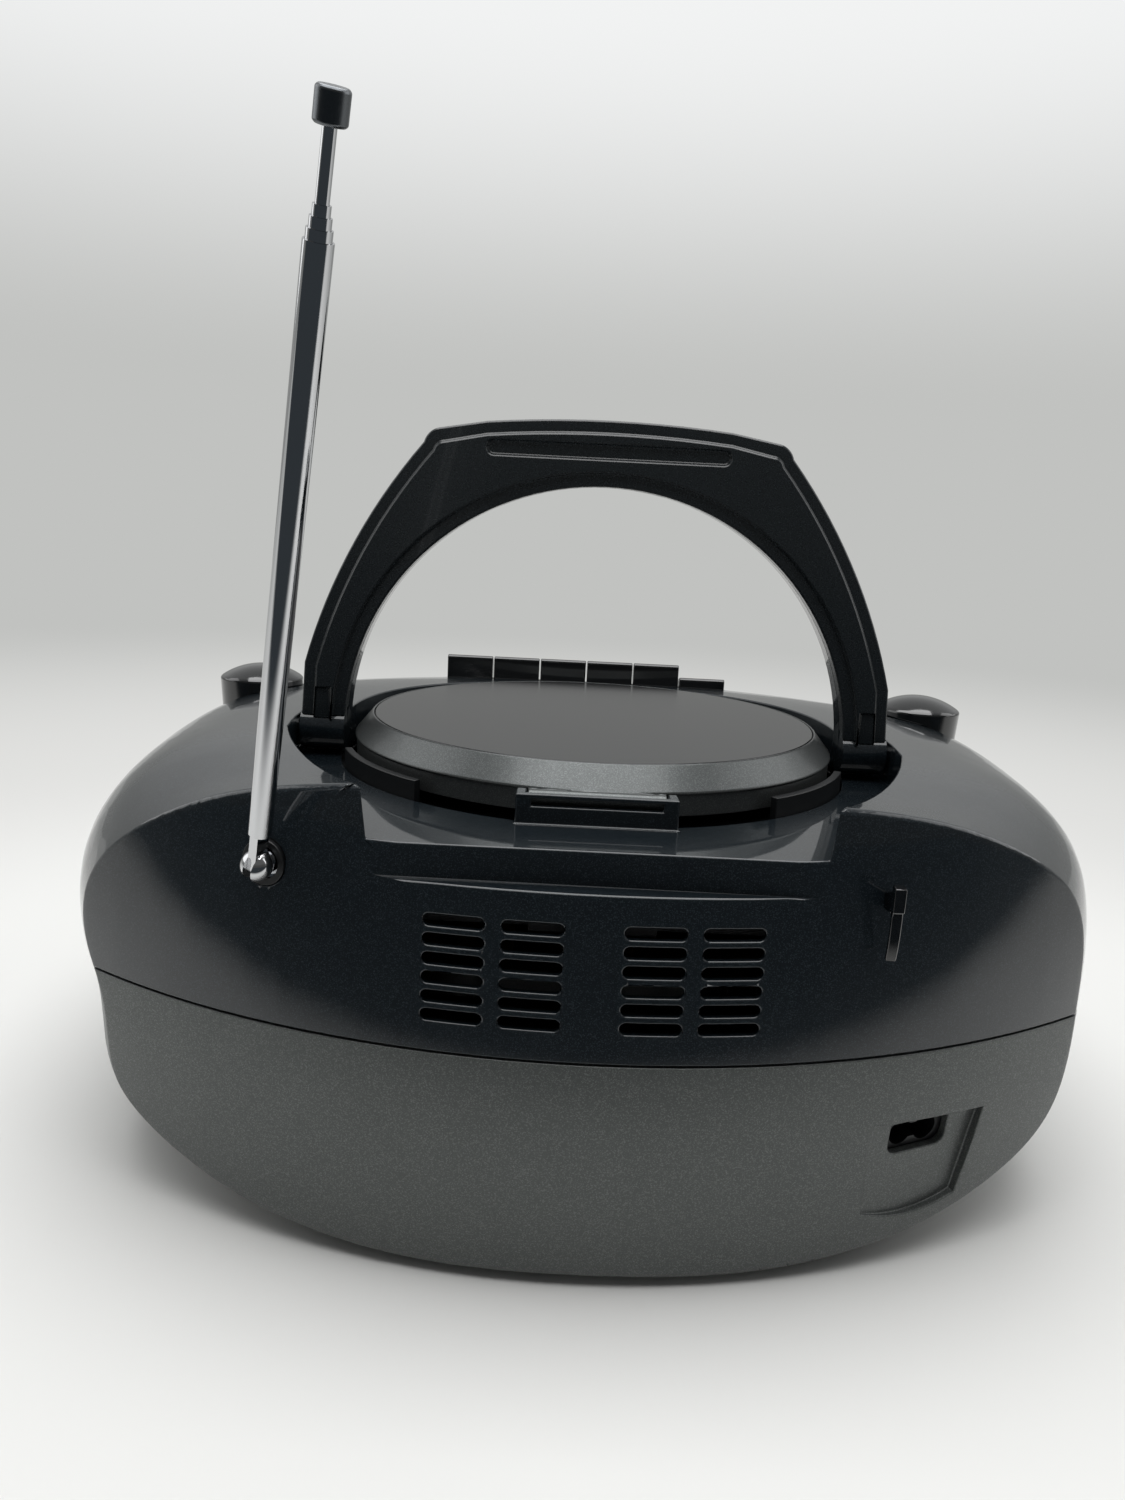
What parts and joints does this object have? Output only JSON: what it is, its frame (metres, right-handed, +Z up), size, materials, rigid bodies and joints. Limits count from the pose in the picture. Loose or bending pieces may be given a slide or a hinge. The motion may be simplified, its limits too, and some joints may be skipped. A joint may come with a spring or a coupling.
{
  "type": "cd cassette radio",
  "caption": "Portable CD cassette radio seen from behind, egg-shaped dark body, round CD lid, raised folding handle and telescopic antenna",
  "frame": {"origin": "on the floor, at the middle of the whole radio with the handle and the antenna upright", "axes": "+X is to the right for someone facing the front, +Y runs from the front to the back, +Z is up; the front faces -Y"},
  "size_m": [0.3255, 0.2923, 0.2771],
  "materials": {
    "shell_gloss": "charcoal grey plastic with a metallic flake under a clear gloss coat",
    "shell_grey": "warm mid-grey plastic with a fine metallic flake, satin",
    "black_plastic": "near-black moulded plastic, low sheen",
    "gloss_black": "polished black plastic",
    "silver_ring": "silver-grey sparkle paint on plastic",
    "chrome": "bright nickel-chrome plating",
    "steel": "plain zinc-plated steel",
    "rubber": "black rubber",
    "board": "brown phenolic circuit board",
    "ferrite": "dark grey sintered ferrite",
    "lens": "clear smoke-tinted window plastic",
    "cone_paper": "black speaker cone paper and steel basket"
  },
  "bodies": {
    "cabinet": {"upper_cabinet": "shell_gloss", "lower_cabinet": "shell_grey", "front_panel": "shell_grey", "cd_deck": "black_plastic", "cd_chassis": "steel", "cd_motor": "steel", "tape_chassis": "steel", "tape_motor": "steel", "left_speaker": "cone_paper", "right_speaker": "cone_paper", "volume_control": "steel", "tuning_capacitor": "black_plastic", "main_board": "board", "transformer": "steel", "ac_inlet": "black_plastic", "antenna_socket": "black_plastic", "ferrite_rod": "ferrite", "display_window": "lens", "hinge_pin": "steel", "antenna_clip": "gloss_black", "foot_1": "rubber", "foot_2": "rubber", "foot_3": "rubber", "foot_4": "rubber"},
    "handle": {"handle_front": "shell_gloss", "handle_rear": "shell_gloss"},
    "lid": {"cd_lid": "silver_ring", "lid_disc": "gloss_black"},
    "turntable": {"turntable": "black_plastic"},
    "sled": {"cd_sled": "black_plastic"},
    "volume_knob": {"volume_knob": "gloss_black"},
    "tuning_knob": {"tuning_knob": "gloss_black"},
    "pause_key": {"pause_key": "gloss_black"},
    "stop_key": {"stop_key": "gloss_black"},
    "forward_key": {"forward_key": "gloss_black"},
    "rewind_key": {"rewind_key": "gloss_black"},
    "play_key": {"play_key": "gloss_black"},
    "record_key": {"record_key": "gloss_black"},
    "head_carrier": {"head_carrier": "steel"},
    "supply_reel": {"supply_reel": "black_plastic"},
    "take_up_reel": {"take_up_reel": "black_plastic"},
    "flywheel": {"flywheel": "steel"},
    "cassette_door": {"cassette_door": "shell_grey", "door_window": "lens"},
    "skip_back_button": {"skip_back_button": "gloss_black"},
    "skip_forward_button": {"skip_forward_button": "gloss_black"},
    "stop_button": {"stop_button": "gloss_black"},
    "play_button": {"play_button": "gloss_black"},
    "function_switch": {"function_switch": "black_plastic"},
    "band_switch": {"band_switch": "black_plastic"},
    "battery_door": {"battery_door": "shell_grey"},
    "antenna_base": {"antenna_swivel": "chrome"},
    "antenna_mast": {"antenna_tube": "chrome"},
    "antenna_stage_2": {"antenna_stage_2": "chrome"},
    "antenna_stage_3": {"antenna_stage_3": "chrome"},
    "antenna_stage_4": {"antenna_stage_4": "chrome"},
    "antenna_tip": {"antenna_rod": "chrome", "antenna_cap": "chrome"}
  },
  "joints": [
    {"name": "handle_fold", "type": "hinge", "parent": "cabinet", "child": "handle", "pos_m": [0, -0.01125, 0.1326], "axis": [-1, 0, 0], "range_deg": [0, 90]},
    {"name": "lid_hinge", "type": "hinge", "parent": "cabinet", "child": "lid", "pos_m": [0, 0.05945, 0.1302], "axis": [-1, 0, 0], "range_deg": [0, 10]},
    {"name": "disc_spin", "type": "hinge", "parent": "cabinet", "child": "turntable", "pos_m": [0, -0.02135, 0.1225], "axis": [0, 0, 1], "continuous": true},
    {"name": "sled_slide", "type": "slide", "parent": "cabinet", "child": "sled", "axis": [0, -1, 0], "range_m": [0, 0.024]},
    {"name": "volume_turn", "type": "hinge", "parent": "cabinet", "child": "volume_knob", "pos_m": [0.13, -0.07655, 0.1389], "axis": [0, 0, 1], "range_deg": [-140, 140]},
    {"name": "tuning_turn", "type": "hinge", "parent": "cabinet", "child": "tuning_knob", "pos_m": [-0.13, -0.07655, 0.1389], "axis": [0, 0, 1], "range_deg": [-140, 140]},
    {"name": "pause_key_press", "type": "slide", "parent": "cabinet", "child": "pause_key", "axis": [0, 0, 1], "range_m": [0, 0.0053]},
    {"name": "stop_key_press", "type": "slide", "parent": "cabinet", "child": "stop_key", "axis": [0, 0, -1], "range_m": [0, 0.0053], "stiffness_N_per_m": 200},
    {"name": "forward_key_press", "type": "slide", "parent": "cabinet", "child": "forward_key", "axis": [0, 0, -1], "range_m": [0, 0.0053], "stiffness_N_per_m": 200},
    {"name": "rewind_key_press", "type": "slide", "parent": "cabinet", "child": "rewind_key", "axis": [0, 0, -1], "range_m": [0, 0.0053], "stiffness_N_per_m": 200},
    {"name": "play_key_press", "type": "slide", "parent": "cabinet", "child": "play_key", "axis": [0, 0, -1], "range_m": [0, 0.0053], "stiffness_N_per_m": 200},
    {"name": "record_key_press", "type": "slide", "parent": "cabinet", "child": "record_key", "axis": [0, 0, -1], "range_m": [0, 0.0053], "stiffness_N_per_m": 200},
    {"name": "head_engage", "type": "slide", "parent": "cabinet", "child": "head_carrier", "axis": [0, 0, -1], "range_m": [0, 0.00318]},
    {"name": "supply_reel_spin", "type": "hinge", "parent": "cabinet", "child": "supply_reel", "pos_m": [-0.02125, -0.12555, 0.058], "axis": [0, -1, 0], "continuous": true},
    {"name": "take_up_reel_spin", "type": "hinge", "parent": "cabinet", "child": "take_up_reel", "pos_m": [0.02125, -0.12555, 0.058], "axis": [0, -1, 0], "continuous": true},
    {"name": "capstan_spin", "type": "hinge", "parent": "cabinet", "child": "flywheel", "pos_m": [-0.012, -0.12555, 0.08], "axis": [0, -1, 0], "continuous": true},
    {"name": "door_hinge", "type": "hinge", "parent": "cabinet", "child": "cassette_door", "pos_m": [0, -0.13455, 0.0255], "axis": [1, 0, 0], "range_deg": [0, 20]},
    {"name": "skip_back_button_press", "type": "slide", "parent": "cabinet", "child": "skip_back_button", "axis": [0, 1, 0], "range_m": [0, 0.0006], "stiffness_N_per_m": 400},
    {"name": "skip_forward_button_press", "type": "slide", "parent": "cabinet", "child": "skip_forward_button", "axis": [0, 1, 0], "range_m": [0, 0.0006], "stiffness_N_per_m": 400},
    {"name": "stop_button_press", "type": "slide", "parent": "cabinet", "child": "stop_button", "axis": [0, 1, 0], "range_m": [0, 0.0006], "stiffness_N_per_m": 400},
    {"name": "play_button_press", "type": "slide", "parent": "cabinet", "child": "play_button", "axis": [0, 1, 0], "range_m": [0, 0.0006], "stiffness_N_per_m": 400},
    {"name": "function_switch_slide", "type": "slide", "parent": "cabinet", "child": "function_switch", "axis": [0.9539, -0.3, 0], "range_m": [-0.005, 0.005]},
    {"name": "band_switch_slide", "type": "slide", "parent": "cabinet", "child": "band_switch", "axis": [0.9539, 0.3, 0], "range_m": [-0.005, 0.005]},
    {"name": "battery_door_release", "type": "slide", "parent": "cabinet", "child": "battery_door", "axis": [0, 0, -1], "range_m": [0, 0.03]},
    {"name": "antenna_turn", "type": "hinge", "parent": "cabinet", "child": "antenna_base", "pos_m": [0.08783, 0.08091, 0.114], "axis": [0.3338, 0.9426, 0], "range_deg": [-70, 105]},
    {"name": "antenna_tilt", "type": "hinge", "parent": "antenna_base", "child": "antenna_mast", "pos_m": [0.08783, 0.08091, 0.114], "axis": [-0.8982, 0.3181, -0.3033], "range_deg": [0, 65]},
    {"name": "antenna_stage_2_slide", "type": "slide", "parent": "antenna_mast", "child": "antenna_stage_2", "axis": [-0.1851, 0.3522, 0.9175], "range_m": [0, 0.115]},
    {"name": "antenna_stage_3_slide", "type": "slide", "parent": "antenna_stage_2", "child": "antenna_stage_3", "axis": [-0.1851, 0.3522, 0.9175], "range_m": [0, 0.115]},
    {"name": "antenna_stage_4_slide", "type": "slide", "parent": "antenna_stage_3", "child": "antenna_stage_4", "axis": [-0.1851, 0.3522, 0.9175], "range_m": [0, 0.115]},
    {"name": "antenna_rod_slide", "type": "slide", "parent": "antenna_stage_4", "child": "antenna_tip", "axis": [-0.1851, 0.3522, 0.9175], "range_m": [0, 0.115]}
  ],
  "couplings": [
    {"joint": "head_engage", "follows": "play_key_press", "ratio": 0.6}
  ]
}
